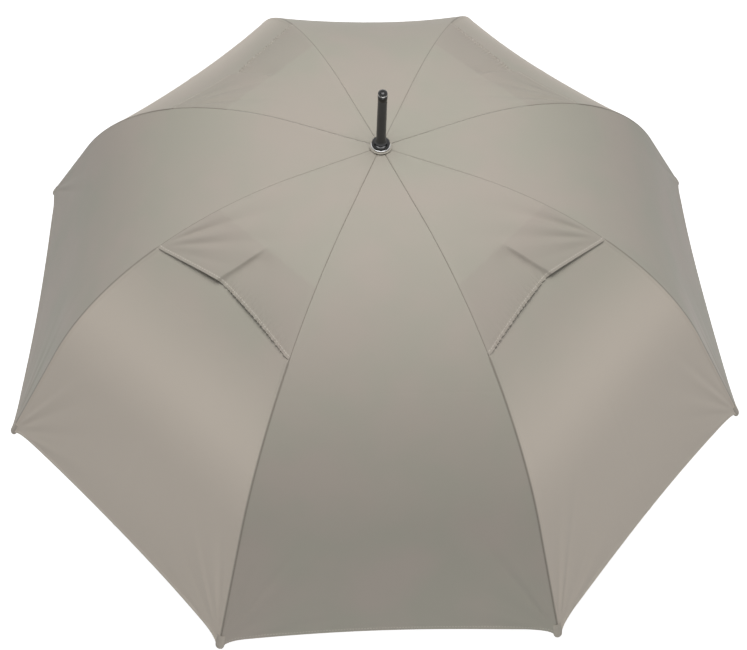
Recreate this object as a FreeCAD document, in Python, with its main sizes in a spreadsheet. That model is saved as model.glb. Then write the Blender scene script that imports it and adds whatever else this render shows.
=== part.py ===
"""Golf umbrella: straight grip, tubular shaft, eight ribs and a vented double canopy, standing open.

Millimetres, +Z up the shaft, origin at the centre of the handle's flat end face.
Rib number N lies at azimuth -112.5 + 45 (N - 1) degrees, and gore number N at -90 + 45 (N - 1).
The even gores are vented: a loose flap lies over the top of the panel below it.
"""
import math
import os
import FreeCAD
import Part
import Sketcher
from FreeCAD import Placement, Rotation, Vector

PARTS = 8
STEP = 360.0 / PARTS
FIRST_RIB = -112.5
FIRST_GORE = -90.0
HALF_GORE = STEP / 2
UP = Vector(0, 0, 1)

DIMENSIONS = [
    ("crown_height", 965, "rib pivots above the handle's end"),
    ("shaft_radius", 7, "outside of the tube"),
    ("shaft_wall", 1, "tube wall"),
    ("shaft_foot", 12, "lower end of the tube, inside the handle"),
    ("rib_pivot_radius", 11, "wire ring that the ribs hang on"),
    ("rib_straight_root", 110, "straight stretch of a rib from its pivot"),
    ("rib_bend_radius", 465, "bend of an open rib"),
    ("rib_straight_tip", 187, "straight stretch at a rib's outer end"),
    ("slope_root", 1, "degrees below level at the pivot"),
    ("slope_flex", 32, "degrees below level at the stretcher clip"),
    ("slope_tip", 55.5, "degrees below level at the outer end"),
    ("rib_radius", 2, "fibreglass rod"),
    ("root_blade_length", 10.5, "flattened end of a rib"),
    ("root_blade_thickness", 2.4, "flattened end of a rib"),
    ("rod_start", 8.5, "where the round rod begins, from the pivot"),
    ("wire_radius", 0.75, "ring wires in the crown and the runner"),
    ("root_eye_bore", 0.9, "hole for the crown's wire"),
    ("eye_radius", 2.6, "rounded end of each blade"),
    ("flex_gap", 0.2, "degrees of bend left free each side of the clip's centre"),
    ("clip_back", 12, "clip length towards the crown"),
    ("clip_front", 5, "clip length towards the tip"),
    ("clip_drop", 7.6, "clip depth below the rod"),
    ("clip_rise", 3, "clip height above the rod"),
    ("clip_plate", 1, "thickness of a clip cheek"),
    ("clip_inside", 4.6, "width between the cheeks"),
    ("clip_sleeve", 9, "crimped length on the rod"),
    ("stretcher_pivot_drop", 6, "stretcher rivet below the rod's centre"),
    ("rivet_radius", 1, "stretcher rivet"),
    ("rivet_clearance", 0.08, "running fit of the stretcher on its rivet"),
    ("tip_cap_length", 12, "moulded cap past the rod's end"),
    ("tip_cap_overlap", 14, "moulded cap over the rod"),
    ("tip_cap_radius", 3.4, "moulded cap"),
    ("stretcher_length", 370, "between a stretcher's two pivots"),
    ("stretcher_radius", 1.75, "round rod"),
    ("stretcher_top_blade", 16, "flattened end at the clip"),
    ("stretcher_low_blade", 38, "flattened end at the runner"),
    ("stretcher_blade", 2, "thickness of the flattened ends"),
    ("stretcher_eye_bore", 1.1, "open eye at the runner's wire"),
    ("runner_wire_ring", 13, "wire ring in the runner"),
    ("runner_bore", 7.08, "running fit on the shaft"),
    ("runner_hub_radius", 17, "slotted hub"),
    ("runner_hub_half", 4, "half height of the hub"),
    ("runner_lip_height", 9, "top of the runner above its wire"),
    ("runner_lip_radius", 9.5, "top lip"),
    ("sleeve_radius", 10, "runner sleeve"),
    ("sleeve_length", 58, "sleeve below the wire"),
    ("groove_low", 53.7, "lower edge of the latch groove below the wire"),
    ("groove_high", 50.2, "upper edge of the latch groove below the wire"),
    ("groove_radius", 8.9, "floor of the latch groove"),
    ("slot_floor", 10, "inner end of the hub slots"),
    ("slot_width", 2.8, "hub slots for the stretchers"),
    ("pin_drop", 30, "cross pin below the wire"),
    ("pin_radius", 1.5, "cross pin"),
    ("plunger_radius", 5.7, "disc on top of the opening spring"),
    ("plunger_height", 4.5, "disc height"),
    ("plunger_seat", 1, "cross pin's depth in the disc"),
    ("shaft_slot_width", 3.2, "slots for the cross pin"),
    ("shaft_slot_low", 205, "lower end of those slots"),
    ("shaft_slot_past_pin", 6.4, "upper end of those slots above the pin's axis"),
    ("spring_foot", 30, "lower end of the opening spring"),
    ("spring_radius", 5.2, "outside of the opening spring"),
    ("spring_wire", 1.4, "spring wire"),
    ("spring_top_gap", 0.3, "spring below the disc"),
    ("crown_radius", 16, "slotted crown disc"),
    ("crown_top", 2.8, "above the pivots"),
    ("crown_bottom", 5, "below the pivots"),
    ("crown_neck", 22, "collar below the pivots"),
    ("crown_neck_radius", 9.5, "collar"),
    ("crown_slot_floor", 8, "inner end of the crown's slots"),
    ("crown_slot_width", 3, "slots for the rib blades"),
    ("canopy_rise", 4.4, "middle of the cloth above the rib's centre"),
    ("flap_rise", 5.8, "middle of the vent flap above the rib's centre"),
    ("cloth", 0.4, "solid thickness that stands for the cloth"),
    ("wire_play", 0.05, "free space round the ring wires"),
    ("cut_past", 2, "slots and holes are cut this far past a face"),
    ("seam_gap", 0.3, "between neighbouring gores"),
    ("flex_edge_gap", 0.06, "degrees of bend between upper and lower cloth"),
    ("canopy_hole", 1.5, "cloth starts this far inside the rib pivots"),
    ("flap_slope", 27.5, "slope of the rib under the flap's hem"),
    ("underlap_slope", 14.5, "slope of the rib at the underlap's top edge"),
    ("rosette_radius", 15.5, "cloth washer under the ferrule"),
    ("rosette_bottom", 6.3, "above the rib pivots"),
    ("rosette_thickness", 1, "doubled cloth"),
    ("collar_radius", 12.4, "moulded base of the ferrule"),
    ("collar_height", 8, "moulded base of the ferrule"),
    ("ring_radius", 13, "bright ring"),
    ("ring_height", 1.8, "bright ring"),
    ("ring_foot", 1, "bright ring above the base's lower face"),
    ("spigot_radius", 5.9, "ferrule plug inside the shaft"),
    ("spigot_length", 20, "ferrule plug inside the shaft"),
    ("ferrule_foot_radius", 8, "flared foot of the ferrule"),
    ("ferrule_radius", 6.4, "ferrule stem"),
    ("ferrule_top", 93, "top of the stem above the rib pivots"),
    ("ferrule_cap_radius", 6.6, "domed cap"),
    ("ferrule_cap_top", 107, "top of the cap above the rib pivots"),
    ("ferrule_cap_dome", 5.4, "rounding of the cap's top"),
    ("grip_radius", 16.5, "rubber grip"),
    ("grip_low", 10, "lower end of the grip"),
    ("grip_high", 146, "upper end of the grip"),
    ("cap_edge", 3, "rounding of the end cap"),
    ("core_radius", 12, "handle core under the grip"),
    ("collar_wall_radius", 17, "button housing"),
    ("handle_top", 175, "top of the button housing"),
    ("cavity_low", 157, "floor of the button cavity"),
    ("cavity_high", 168, "roof of the button cavity"),
    ("cavity_radius", 15.8, "button cavity"),
    ("cavity_hub", 8, "wall round the shaft inside the cavity"),
    ("button_height", 161.5, "axis of the push button"),
    ("button_radius", 4.2, "push button"),
    ("button_hole", 4.5, "hole in the housing"),
    ("button_face", 19.5, "face of the button from the axis"),
    ("button_travel", 2.2, "push"),
    ("button_root", 1, "button's stem inside the latch plate's rim"),
    ("latch_radius", 12.9, "latch plate"),
    ("latch_thickness", 3, "latch plate"),
    ("latch_bore", 8.4, "hole in the latch plate"),
    ("hook_inner", 11.2, "inner face of the hook's arm"),
    ("hook_thickness", 1.2, "hook's arm"),
    ("hook_width", 6, "hook's arm"),
    ("hook_top", 190.5, "top of the hook"),
    ("hook_nose", 2, "reach of the hook's nose"),
    ("hook_play", 0.4, "free space round the hook's arm"),
    ("hook_nose_height", 2.3, "hook's nose"),
    ("button_spring_radius", 2, "return spring"),
    ("spring_gap", 0.1, "free space at each end of the return spring"),
    ("strap_width", 22, "closure strap"),
    ("strap_length", 180, "closure strap"),
    ("strap_thickness", 1, "closure strap"),
    ("strap_gap", 0.6, "strap above the cloth"),
    ("strap_past_hem", 18, "strap end past the hem"),
    ("snap_radius", 6, "press stud"),
    ("snap_height", 2.4, "press stud"),
]

doc = FreeCAD.newDocument("golf_umbrella")
sheet = doc.addObject("Spreadsheet::Sheet", "dims")
for row, (alias, value, meaning) in enumerate(DIMENSIONS, 1):
    sheet.set(f"A{row}", meaning)
    sheet.set(f"B{row}", str(value))
    sheet.setAlias(f"B{row}", alias)
doc.recompute()


def size(formula):
    """The number that a sheet formula gives."""
    value = sheet.evalExpression(str(formula))
    return float(getattr(value, "Value", value))


# ---------------------------------------------------------------- the rib's line as sheet formulas
SIN_ROOT = "sin(dims.slope_root * 1deg)"
COS_ROOT = "cos(dims.slope_root * 1deg)"
BEND_X = (f"(dims.rib_pivot_radius + dims.rib_straight_root * {COS_ROOT}"
          f" - dims.rib_bend_radius * {SIN_ROOT})")
BEND_Z = f"(-dims.rib_straight_root * {SIN_ROOT} - dims.rib_bend_radius * {COS_ROOT})"


def root_point(along, rise="0"):
    """A point of the rib's straight root, 'along' from the pivot and 'rise' above the line."""
    return (f"dims.rib_pivot_radius + {along} * {COS_ROOT} + {rise} * {SIN_ROOT}",
            f"-({along}) * {SIN_ROOT} + {rise} * {COS_ROOT}")


def bend_point(slope, rise="0"):
    """The point of the bend where the rib slopes 'slope' degrees, 'rise' above the line."""
    return (f"{BEND_X} + (dims.rib_bend_radius + {rise}) * sin(({slope}) * 1deg)",
            f"{BEND_Z} + (dims.rib_bend_radius + {rise}) * cos(({slope}) * 1deg)")


def tip_point(along, rise="0"):
    """A point of the straight outer stretch, 'along' past the end of the bend."""
    across, up = bend_point("dims.slope_tip", rise)
    return (f"{across} + ({along}) * cos(dims.slope_tip * 1deg)",
            f"{up} - ({along}) * sin(dims.slope_tip * 1deg)")


FLEX = bend_point("dims.slope_flex")
RIVET = bend_point("dims.slope_flex", "-dims.stretcher_pivot_drop")
RUNNER_Z = (f"({RIVET[1]} - sqrt(pow(dims.stretcher_length; 2)"
            f" - pow({RIVET[0]} - dims.runner_wire_ring; 2)))")


# ---------------------------------------------------------------- sketches and features
def new_body(label):
    body = doc.addObject("PartDesign::Body", label)
    body.Label = label
    return body


def plane_of(body, role):
    return next(item for item in body.Origin.OriginFeatures if item.Role == role)


def attach(item, body, role, offset=None):
    item.AttachmentSupport = [(plane_of(body, role), "")]
    item.MapMode = "FlatFace"
    if offset is not None:
        item.AttachmentOffset = offset


def new_sketch(body, role, offset=None):
    sketch = body.newObject("Sketcher::SketchObject", body.Name + "_sketch")
    attach(sketch, body, role, offset)
    return sketch


def bind(sketch, kind, geometry, formula):
    """One dimension of the sketch, bound to a sheet formula."""
    index = sketch.addConstraint(Sketcher.Constraint(kind, *geometry, size(formula)))
    sketch.setExpression(f"Constraints[{index}]", str(formula))


def bind_point(sketch, line, end, point):
    bind(sketch, "DistanceX", (-1, 1, line, end), point[0])
    bind(sketch, "DistanceY", (-1, 1, line, end), point[1])


def join(sketch, first, second):
    sketch.addConstraint(Sketcher.Constraint("Coincident", *first, *second))


def outline(body, role, corners, offset=None):
    """A closed sketch of straight lines, each corner a pair of sheet formulas."""
    sketch = new_sketch(body, role, offset)
    points = [Vector(size(across), size(up), 0) for across, up in corners]
    count = len(points)
    for index in range(count):
        sketch.addGeometry(Part.LineSegment(points[index], points[(index + 1) % count]))
    for index in range(count):
        join(sketch, (index, 2), ((index + 1) % count, 1))
        bind_point(sketch, index, 1, corners[index])
    return sketch


def disc(body, role, centre, radius, offset=None):
    """A sketch of one circle."""
    sketch = new_sketch(body, role, offset)
    middle = Vector(size(centre[0]), size(centre[1]), 0)
    sketch.addGeometry(Part.Circle(middle, UP, size(radius)))
    bind(sketch, "Radius", (0,), radius)
    bind_point(sketch, 0, 3, centre)
    return sketch


def rib_line(sketch, slopes, rise="0", lead=None, tail=None):
    """Add the rib's line between two slopes, with a straight lead or tail; return its two ends."""
    middle = Vector(size(BEND_X), size(BEND_Z), 0)
    radius = size(f"dims.rib_bend_radius + {rise}")
    angles = [math.radians(90 - size(slope)) for slope in slopes]
    arc = sketch.addGeometry(Part.ArcOfCircle(Part.Circle(middle, UP, radius), angles[1], angles[0]))
    bind_point(sketch, arc, 3, (BEND_X, BEND_Z))
    bind(sketch, "Radius", (arc,), f"dims.rib_bend_radius + {rise}")
    ends = [(arc, 2), (arc, 1)]
    points = [bend_point(slope, rise) for slope in slopes]
    for which, outer in enumerate((lead, tail)):
        bind(sketch, "DistanceX", (-1, 1, *ends[which]), points[which][0])
        if outer is None:
            continue
        near = Vector(*map(size, points[which]), 0)
        line = sketch.addGeometry(Part.LineSegment(near, Vector(*map(size, outer), 0)))
        join(sketch, (line, 1), ends[which])
        bind_point(sketch, line, 2, outer)
        ends[which] = (line, 2)
    return ends


def band(body, side, slopes, rise, lead=None, tail=None):
    """A closed strip of cloth in the plane of one rib, at one side of the gore."""
    turn = side * HALF_GORE
    inward = Rotation(Vector(0, 1, 0), turn).multVec(Vector(0, 0, side * size("dims.seam_gap") / 2))
    sketch = new_sketch(body, "XZ_Plane", Placement(inward, Rotation(Vector(0, 1, 0), turn)))
    rises = [f"({rise} + dims.cloth / 2)", f"({rise} - dims.cloth / 2)"]
    curves = []
    for level in rises:
        start = root_point(lead, level) if lead else None
        finish = tip_point(tail, level) if tail else None
        curves.append(rib_line(sketch, slopes, level, start, finish))
    for top, bottom in zip(*curves):
        line = sketch.addGeometry(Part.LineSegment(sketch.getPoint(*top), sketch.getPoint(*bottom)))
        join(sketch, (line, 1), top)
        join(sketch, (line, 2), bottom)
    return sketch


def pad(body, sketch, thickness):
    feature = body.newObject("PartDesign::Pad", body.Name + "_pad")
    feature.Profile = sketch
    feature.SideType = "Symmetric"
    feature.setExpression("Length", thickness)
    return feature


def cut_through(body, sketch):
    """A pocket through everything on both sides of its sketch."""
    before = body.Tip.Shape.Volume
    feature = body.newObject("PartDesign::Pocket", body.Name + "_cut")
    feature.Profile = sketch
    feature.SideType = "Symmetric"
    feature.Type = "ThroughAll"
    doc.recompute()
    if feature.Shape.Volume >= before:
        raise RuntimeError(f"{feature.Name} cuts nothing")
    return feature


def turn(body, sketch, kind="PartDesign::Revolution"):
    feature = body.newObject(kind, body.Name + "_turn")
    feature.Profile = sketch
    feature.ReferenceAxis = (sketch, ["V_Axis"])
    feature.Angle = 360
    return feature


def turned(label, corners):
    """A body of revolution about the shaft; corners are its half section."""
    body = new_body(label)
    turn(body, outline(body, "XZ_Plane", corners))
    doc.recompute()
    return body


def tube(label, inner, outer, low, high):
    return turned(label, [(inner, low), (outer, low), (outer, high), (inner, high)])


def sweep(body, path, radius, start, slope):
    """A round rod along a sketched path."""
    offset = Placement(Vector(0, size(start[1]), size(start[0])), Rotation(Vector(1, 0, 0), size(slope)))
    profile = new_sketch(body, "YZ_Plane", offset)
    profile.addGeometry(Part.Circle(Vector(), UP, size(radius)))
    join(profile, (0, 3), (-1, 1))
    bind(profile, "Radius", (0,), radius)
    feature = body.newObject("PartDesign::AdditivePipe", body.Name + "_rod")
    feature.Profile = profile
    feature.Spine = (path, [])
    return feature


def primitive(body, kind, placement, **sizes):
    """A box or cylinder feature of the body, its sizes bound to the sheet."""
    feature = body.newObject("PartDesign::" + kind, body.Name + "_" + kind)
    feature.Placement = placement
    for name, formula in sizes.items():
        feature.setExpression(name, str(formula))
    return feature


def slots(body, floor, reach, width):
    """Eight radial slots, one for each rib."""
    half = f"{width} / 2"
    corners = [(floor, f"-{half}"), (reach, f"-{half}"), (reach, half), (floor, half)]
    turned_plane = Placement(Vector(), Rotation(UP, HALF_GORE))
    slot = cut_through(body, outline(body, "XY_Plane", corners, turned_plane))
    pattern = body.newObject("PartDesign::PolarPattern", body.Name + "_slots")
    pattern.Originals = [slot]
    pattern.Axis = (plane_of(body, "Z_Axis"), [""])
    pattern.Angle = 360
    pattern.Occurrences = PARTS
    body.Tip = pattern
    doc.recompute()


def wire_groove(body, ring):
    primitive(body, "SubtractiveTorus", Placement(), Radius1=ring,
              Radius2="dims.wire_radius + dims.wire_play")


def stand_at(item, height):
    item.setExpression("Placement.Base.z", height)
    return item


def azimuth(item, degrees):
    item.Placement = Placement(Vector(), Rotation(UP, degrees))
    return stand_at(item, "dims.crown_height")


# ---------------------------------------------------------------- ribs
def in_rib_plane(point, along=0.0, rise=0.0, aside=0.0):
    """A placement in the XZ plane whose X runs out along the rib at the clip."""
    slope = Rotation(Vector(0, 1, 0), size("dims.slope_flex"))
    base = Vector(size(point[0]), 0, size(point[1]))
    return Placement(base + slope.multVec(Vector(along, aside, rise)), slope)


def make_rib(number):
    """Inner part of a rib: flattened eye on the crown's wire, rod, and the crimped stretcher clip."""
    body = new_body(f"rib_{number}")
    stop = "dims.slope_flex - dims.flex_gap"
    start = root_point("dims.rod_start")
    path = new_sketch(body, "XZ_Plane")
    rib_line(path, ("dims.slope_root", stop), lead=start)
    sweep(body, path, "dims.rib_radius", start, "dims.slope_root")
    half = "dims.rib_radius"
    pivot = root_point("0")
    blade_end = f"{pivot[0]} + dims.root_blade_length"
    blade = [(pivot[0], f"-{half}"), (blade_end, f"-{half}"), (blade_end, half), (pivot[0], half)]
    pad(body, outline(body, "XZ_Plane", blade), "dims.root_blade_thickness")
    pad(body, disc(body, "XZ_Plane", pivot, "dims.eye_radius"), "dims.root_blade_thickness")
    doc.recompute()
    cut_through(body, disc(body, "XZ_Plane", pivot, "dims.root_eye_bore"))
    back = size("dims.clip_back")
    drop = size("dims.clip_drop")
    inside = size("dims.clip_inside") / 2
    plate = size("dims.clip_plate")
    sleeve = in_rib_plane(FLEX, along=-back)
    sleeve.Rotation = sleeve.Rotation.multiply(Rotation(Vector(0, 1, 0), 90))
    primitive(body, "AdditiveCylinder", sleeve, Height="dims.clip_sleeve",
              Radius="dims.clip_inside / 2 + dims.clip_plate")
    for aside in (inside, -inside - plate):
        primitive(body, "AdditiveBox", in_rib_plane(FLEX, -back, -drop, aside),
                  Length="dims.clip_back + dims.clip_front", Width="dims.clip_plate",
                  Height="dims.clip_drop + dims.clip_rise")
    rivet = Placement(Vector(size(RIVET[0]), inside + plate, size(RIVET[1])), Rotation(Vector(1, 0, 0), 90))
    primitive(body, "AdditiveCylinder", rivet, Radius="dims.rivet_radius",
              Height="dims.clip_inside + 2 * dims.clip_plate")
    return azimuth(body, FIRST_RIB + STEP * (number - 1))


def make_rib_end(number):
    """Outer part of a rib, past the clip, with the cap that stretches the canopy's corner."""
    body = new_body(f"rib_end_{number}")
    begin = "dims.slope_flex + dims.flex_gap"
    path = new_sketch(body, "XZ_Plane")
    rib_line(path, (begin, "dims.slope_tip"), tail=tip_point("dims.rib_straight_tip"))
    sweep(body, path, "dims.rib_radius", bend_point(begin), begin)
    start = tip_point("dims.rib_straight_tip - dims.tip_cap_overlap")
    base = Vector(size(start[0]), 0, size(start[1]))
    outward = Rotation(Vector(0, 1, 0), 90 + size("dims.slope_tip"))
    primitive(body, "AdditiveCylinder", Placement(base, outward), Radius="dims.tip_cap_radius",
              Height="dims.tip_cap_overlap + dims.tip_cap_length")
    return azimuth(body, FIRST_RIB + STEP * (number - 1))


def make_stretcher(number):
    """Straight strut from the rib's rivet to the runner's wire; X runs from rivet to runner."""
    body = new_body(f"stretcher_{number}")
    side = Rotation(Vector(1, 0, 0), 90)
    blade = size("dims.stretcher_blade")
    length = size("dims.stretcher_length")
    low = size("dims.stretcher_low_blade")
    half = size("dims.stretcher_radius")
    start = size("dims.stretcher_top_blade - dims.stretcher_blade")
    flat = {"Width": "dims.stretcher_blade", "Height": "2 * dims.stretcher_radius"}
    primitive(body, "AdditiveBox", Placement(Vector(0, -blade / 2, -half), Rotation()),
              Length="dims.stretcher_top_blade", **flat)
    primitive(body, "AdditiveCylinder", Placement(Vector(start, 0, 0), Rotation(Vector(0, 1, 0), 90)),
              Radius="dims.stretcher_radius",
              Height="dims.stretcher_length - dims.stretcher_low_blade - dims.stretcher_top_blade"
                     " + 2 * dims.stretcher_blade")
    primitive(body, "AdditiveBox", Placement(Vector(length - low, -blade / 2, -half), Rotation()),
              Length="dims.stretcher_low_blade", **flat)
    eyes = ((0, "dims.rivet_radius + dims.rivet_clearance"), (length, "dims.stretcher_eye_bore"))
    for along, _ in eyes:
        primitive(body, "AdditiveCylinder", Placement(Vector(along, blade / 2, 0), side),
                  Radius="dims.eye_radius", Height="dims.stretcher_blade")
    for along, bore in eyes:
        primitive(body, "SubtractiveCylinder", Placement(Vector(along, blade, 0), side),
                  Radius=bore, Height="2 * dims.stretcher_blade")
    top = Vector(size(RIVET[0]), 0, size(RIVET[1]) + size("dims.crown_height"))
    foot = Vector(size("dims.runner_wire_ring"), 0, size(RUNNER_Z) + size("dims.crown_height"))
    around = Rotation(UP, FIRST_RIB + STEP * (number - 1))
    along = (foot - top).normalize()
    lean = Rotation(along, Vector(0, 1, 0), along.cross(Vector(0, 1, 0)), "XYZ")
    body.Placement = Placement(around.multVec(top), around.multiply(lean))
    return body


# ---------------------------------------------------------------- canopy
def strip(label, slopes, rise, lead=None, tail=None):
    """Cloth stretched straight across from one rib's line to the next."""
    body = new_body(label)
    sketches = [band(body, side, slopes, rise, lead, tail) for side in (-1, 1)]
    loft = body.newObject("PartDesign::AdditiveLoft", body.Name + "_loft")
    loft.Profile = sketches[0]
    loft.Sections = [sketches[1]]
    loft.Ruled = True
    return body


def make_upper(number):
    """Cloth between the crown and the line of the clips."""
    label = f"canopy_upper_{number}"
    around = FIRST_GORE + STEP * (number - 1)
    hole = "(-dims.canopy_hole)"
    edge = "dims.slope_flex - dims.flex_edge_gap"
    if number % 2:
        return azimuth(strip(label, ("dims.slope_root", edge), "dims.canopy_rise", lead=hole), around)
    flap = strip(f"vent_flap_{number}", ("dims.slope_root", "dims.flap_slope"), "dims.flap_rise", lead=hole)
    underlap = strip(f"underlap_{number}", ("dims.underlap_slope", edge), "dims.canopy_rise")
    pair = doc.addObject("Part::Compound", label)
    pair.Label = label
    pair.Links = [flap, underlap]
    return azimuth(pair, around)


def make_lower(number):
    """Cloth between the line of the clips and the hem."""
    edge = "dims.slope_flex + dims.flex_edge_gap"
    body = strip(f"canopy_lower_{number}", (edge, "dims.slope_tip"), "dims.canopy_rise",
                 tail="dims.rib_straight_tip")
    return azimuth(body, FIRST_GORE + STEP * (number - 1))


def on_rear_gore(past_hem, rise):
    """A placement on the rear gore's middle line: X runs down towards the hem, Z out of the cloth."""
    squeeze = size(f"cos({HALF_GORE} * 1deg)")
    points = [tip_point(along, "dims.canopy_rise") for along in ("0", "dims.rib_straight_tip")]
    start, hem = [Vector(0, size(across) * squeeze, size(up)) for across, up in points]
    down = (hem - start).normalize()
    out = down.cross(Vector(-1, 0, 0))
    base = hem + down * past_hem + out * rise + UP * size("dims.crown_height")
    return Placement(base, Rotation(down, out.cross(down), out, "ZXY"))


def make_strap():
    """Closure strap, sewn to the rear gore and lying down its outside past the hem."""
    body = new_body("closure_strap")
    side = -size("dims.strap_width") / 2
    primitive(body, "AdditiveBox", Placement(Vector(0, side, 0), Rotation()),
              Length="dims.strap_length", Width="dims.strap_width", Height="dims.strap_thickness")
    rise = size("dims.cloth / 2 + dims.strap_gap")
    body.Placement = on_rear_gore(size("dims.strap_past_hem - dims.strap_length"), rise)
    return body


def make_snap():
    """Press stud near the strap's free end."""
    body = new_body("strap_snap")
    primitive(body, "AdditiveCylinder", Placement(), Radius="dims.snap_radius", Height="dims.snap_height")
    rise = size("dims.cloth / 2 + dims.strap_gap + dims.strap_thickness")
    body.Placement = on_rear_gore(size("dims.strap_past_hem - 2 * dims.snap_radius"), rise)
    return body


# ---------------------------------------------------------------- crown and ferrule
def make_crown():
    """Slotted disc on top of the shaft, with a collar below it."""
    low = "-dims.crown_bottom"
    corners = [("dims.shaft_radius", "-dims.crown_neck"), ("dims.crown_neck_radius", "-dims.crown_neck"),
               ("dims.crown_neck_radius", low), ("dims.crown_radius", low),
               ("dims.crown_radius", "dims.crown_top"), ("dims.shaft_radius", "dims.crown_top")]
    body = turned("crown", corners)
    slots(body, "dims.crown_slot_floor", "dims.crown_radius + dims.cut_past", "dims.crown_slot_width")
    wire_groove(body, "dims.rib_pivot_radius")
    return stand_at(body, "dims.crown_height")


def ring_wire(label, ring, height):
    wire = doc.addObject("Part::Torus", label)
    wire.setExpression("Radius1", ring)
    wire.setExpression("Radius2", "dims.wire_radius")
    return stand_at(wire, height)


def make_rosette():
    low = "dims.rosette_bottom"
    high = f"{low} + dims.rosette_thickness"
    body = tube("rosette", "dims.spigot_radius", "dims.rosette_radius", low, high)
    return stand_at(body, "dims.crown_height")


def make_collar():
    """Black moulded base of the ferrule, sloping in at the top."""
    low = "dims.rosette_bottom + dims.rosette_thickness"
    high = f"{low} + dims.collar_height"
    shoulder = f"{high} - dims.ring_height"
    corners = [("dims.spigot_radius", low), ("dims.collar_radius", low), ("dims.collar_radius", shoulder),
               ("dims.ferrule_foot_radius", high), ("dims.spigot_radius", high)]
    return stand_at(turned("ferrule_collar", corners), "dims.crown_height")


def make_ferrule_ring():
    low = "dims.rosette_bottom + dims.rosette_thickness + dims.ring_foot"
    body = tube("ferrule_ring", "dims.collar_radius", "dims.ring_radius", low, f"{low} + dims.ring_height")
    return stand_at(body, "dims.crown_height")


def make_ferrule():
    """Moulded stem with a plug that fits inside the top of the shaft."""
    foot = "dims.rosette_bottom + dims.rosette_thickness + dims.collar_height"
    flare = f"{foot} + dims.collar_height"
    corners = [("0", "-dims.spigot_length"), ("dims.spigot_radius", "-dims.spigot_length"),
               ("dims.spigot_radius", foot), ("dims.ferrule_foot_radius", foot),
               ("dims.ferrule_radius", flare), ("dims.ferrule_radius", "dims.ferrule_top"),
               ("0", "dims.ferrule_top")]
    return stand_at(turned("ferrule", corners), "dims.crown_height")


def make_ferrule_cap():
    """Cap on the stem, rounded to a dome."""
    body = new_body("ferrule_cap")
    foot = Placement(Vector(0, 0, size("dims.ferrule_top")), Rotation())
    primitive(body, "AdditiveCylinder", foot, Radius="dims.ferrule_cap_radius",
              Height="dims.ferrule_cap_top - dims.ferrule_top")
    doc.recompute()
    round_edge(body, "dims.ferrule_cap_top", "dims.ferrule_cap_radius", "dims.ferrule_cap_dome")
    return stand_at(body, "dims.crown_height")


def round_edge(body, height, radius, rounding):
    """Round the circular edge at this height and radius."""
    for number, edge in enumerate(body.Shape.Edges, 1):
        low = edge.BoundBox
        wide = abs(low.XMax - size(radius)) < 0.01
        if wide and abs(low.ZMax - size(height)) < 0.01 and abs(low.ZMin - size(height)) < 0.01:
            sharp = body.Tip
            fillet = body.newObject("PartDesign::Fillet", body.Name + "_round")
            fillet.Base = (sharp, [f"Edge{number}"])
            fillet.setExpression("Radius", rounding)
            doc.recompute()
            return
    raise RuntimeError(f"{body.Label} has no edge to round")


# ---------------------------------------------------------------- shaft, runner and springs
PIN_Z = f"dims.crown_height + {RUNNER_Z} - dims.pin_drop"


def make_shaft():
    """Tube with two long slots for the runner's cross pin."""
    body = tube("shaft", "dims.shaft_radius - dims.shaft_wall", "dims.shaft_radius",
                "dims.shaft_foot", "dims.crown_height + dims.crown_top")
    half = "dims.shaft_slot_width / 2"
    high = f"{PIN_Z} + dims.shaft_slot_past_pin"
    low = "dims.shaft_slot_low"
    corners = [(f"-{half}", low), (half, low), (half, high), (f"-{half}", high)]
    cut_through(body, outline(body, "YZ_Plane", corners))
    return body


def make_runner():
    """Slotted hub on a sleeve; a groove near the sleeve's foot takes the latch."""
    bore = "dims.runner_bore"
    corners = [(bore, "-dims.sleeve_length"), ("dims.sleeve_radius", "-dims.sleeve_length"),
               ("dims.sleeve_radius", "-dims.groove_low"), ("dims.groove_radius", "-dims.groove_low"),
               ("dims.groove_radius", "-dims.groove_high"), ("dims.sleeve_radius", "-dims.groove_high"),
               ("dims.sleeve_radius", "-dims.runner_hub_half"),
               ("dims.runner_hub_radius", "-dims.runner_hub_half"),
               ("dims.runner_hub_radius", "dims.runner_hub_half"),
               ("dims.runner_lip_radius", "dims.runner_hub_half"),
               ("dims.runner_lip_radius", "dims.runner_lip_height"), (bore, "dims.runner_lip_height")]
    body = turned("runner", corners)
    slots(body, "dims.slot_floor", "dims.runner_hub_radius + dims.cut_past", "dims.slot_width")
    wire_groove(body, "dims.runner_wire_ring")
    doc.recompute()
    cut_through(body, disc(body, "YZ_Plane", ("0", "-dims.pin_drop"), "dims.pin_radius"))
    return stand_at(body, f"dims.crown_height + {RUNNER_Z}")


def make_runner_pin():
    """Cross pin through the shaft's slots, on the disc that the opening spring pushes."""
    body = new_body("runner_pin")
    half = size("dims.sleeve_radius")
    primitive(body, "AdditiveCylinder", Placement(Vector(-half, 0, 0), Rotation(Vector(0, 1, 0), 90)),
              Radius="dims.pin_radius", Height="2 * dims.sleeve_radius")
    drop = size("dims.pin_radius + dims.plunger_height - dims.plunger_seat")
    primitive(body, "AdditiveCylinder", Placement(Vector(0, 0, -drop), Rotation()),
              Radius="dims.plunger_radius", Height="dims.plunger_height")
    return stand_at(body, PIN_Z)


def make_opening_spring():
    """Envelope of the long coil inside the shaft."""
    disc_foot = f"{PIN_Z} - dims.pin_radius - dims.plunger_height + dims.plunger_seat"
    return tube("opening_spring", "dims.spring_radius - dims.spring_wire", "dims.spring_radius",
                "dims.spring_foot", f"{disc_foot} - dims.spring_top_gap")


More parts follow.
